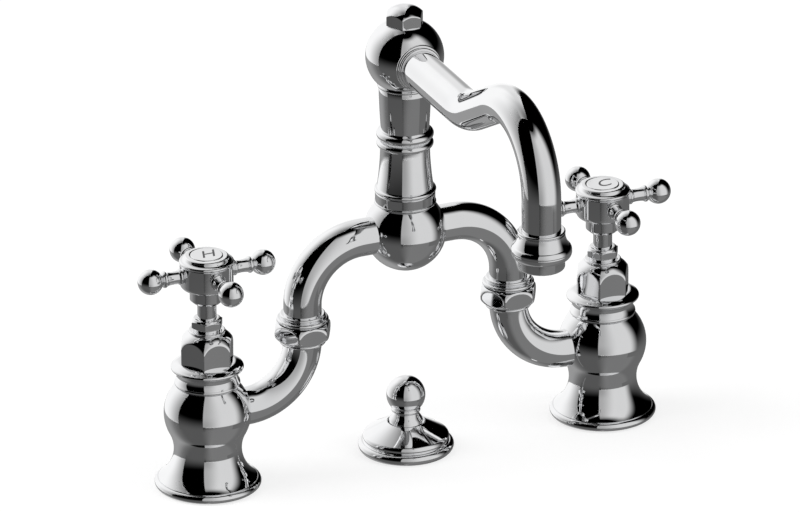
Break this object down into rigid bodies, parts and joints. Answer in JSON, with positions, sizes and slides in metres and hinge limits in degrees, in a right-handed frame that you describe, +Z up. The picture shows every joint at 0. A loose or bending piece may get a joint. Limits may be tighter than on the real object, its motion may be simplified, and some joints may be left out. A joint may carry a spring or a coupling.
{
  "type": "three-hole basin mixer",
  "caption": "Bridge basin mixer with pillar valves, cross handles, an S-bend bridge, a swivelling swan-neck spout and a separate lift knob for the pop-up waste.",
  "frame": {"origin": "top of the deck, midway between the axes of the two pillars, on the axis of the column", "axes": "+X along the bridge to the cold side, -Y to the front of the basin, where the spout points, +Z up"},
  "size_m": [0.2726, 0.2051, 0.3165],
  "materials": {
    "chrome": "polished",
    "brass": "machined",
    "steel": "plain",
    "rubber": "matt",
    "fibre": "matt",
    "ceramic": "lapped",
    "plastic": "moulded"
  },
  "bodies": {
    "root": {"hot_pillar": "chrome", "hot_shank": "brass", "hot_deck_gasket": "rubber", "hot_clamp_washer": "fibre", "hot_back_nut": "brass", "hot_lower_elbow": "chrome", "hot_union_nut": "chrome", "hot_union_washer": "fibre", "hot_upper_elbow": "chrome", "hot_seat_seal": "rubber", "hot_fixed_disc": "ceramic", "hot_cartridge_body": "brass", "hot_spindle_seals": "rubber", "hot_bonnet": "chrome", "hot_gland_nut": "chrome", "cold_pillar": "chrome", "cold_shank": "brass", "cold_deck_gasket": "rubber", "cold_clamp_washer": "fibre", "cold_back_nut": "brass", "cold_lower_elbow": "chrome", "cold_union_nut": "chrome", "cold_union_washer": "fibre", "cold_upper_elbow": "chrome", "cold_seat_seal": "rubber", "cold_fixed_disc": "ceramic", "cold_cartridge_body": "brass", "cold_spindle_seals": "rubber", "cold_bonnet": "chrome", "cold_gland_nut": "chrome", "centre_body": "chrome", "column": "chrome", "swivel_spigot": "brass", "swivel_orings": "rubber", "swivel_washer": "fibre", "lift_rose": "chrome", "lift_guide": "brass", "lift_guide_nut": "brass"},
    "hot_handle": {"hot_moving_disc": "ceramic", "hot_spindle": "chrome", "hot_handle_hub": "chrome", "hot_handle_arms": "chrome", "hot_handle_screw": "steel", "hot_index_button": "chrome"},
    "cold_handle": {"cold_moving_disc": "ceramic", "cold_spindle": "chrome", "cold_handle_hub": "chrome", "cold_handle_arms": "chrome", "cold_handle_screw": "steel", "cold_index_button": "chrome"},
    "spout": {"spout_head": "chrome", "swivel_screw": "steel", "head_cap": "chrome", "spout_tube": "chrome", "outlet_bell": "chrome", "aerator_housing": "chrome", "aerator_insert": "plastic", "aerator_washer": "rubber"},
    "lift": {"lift_knob": "chrome", "lift_rod": "chrome"}
  },
  "joints": [
    {"name": "hot_handle_turn", "type": "hinge", "parent": "root", "child": "hot_handle", "pos_m": [-0.1016, 0, 0.11], "axis": [0, 0, 1], "range_deg": [0, 90]},
    {"name": "cold_handle_turn", "type": "hinge", "parent": "root", "child": "cold_handle", "pos_m": [0.1016, 0, 0.11], "axis": [0, 0, -1], "range_deg": [0, 90]},
    {"name": "spout_swivel", "type": "hinge", "parent": "root", "child": "spout", "pos_m": [0, 0, 0.16], "axis": [0, 0, 1], "range_deg": [-60, 60]},
    {"name": "lift_rod_slide", "type": "slide", "parent": "root", "child": "lift", "axis": [0, 0, 1], "range_m": [0, 0.025]}
  ]
}
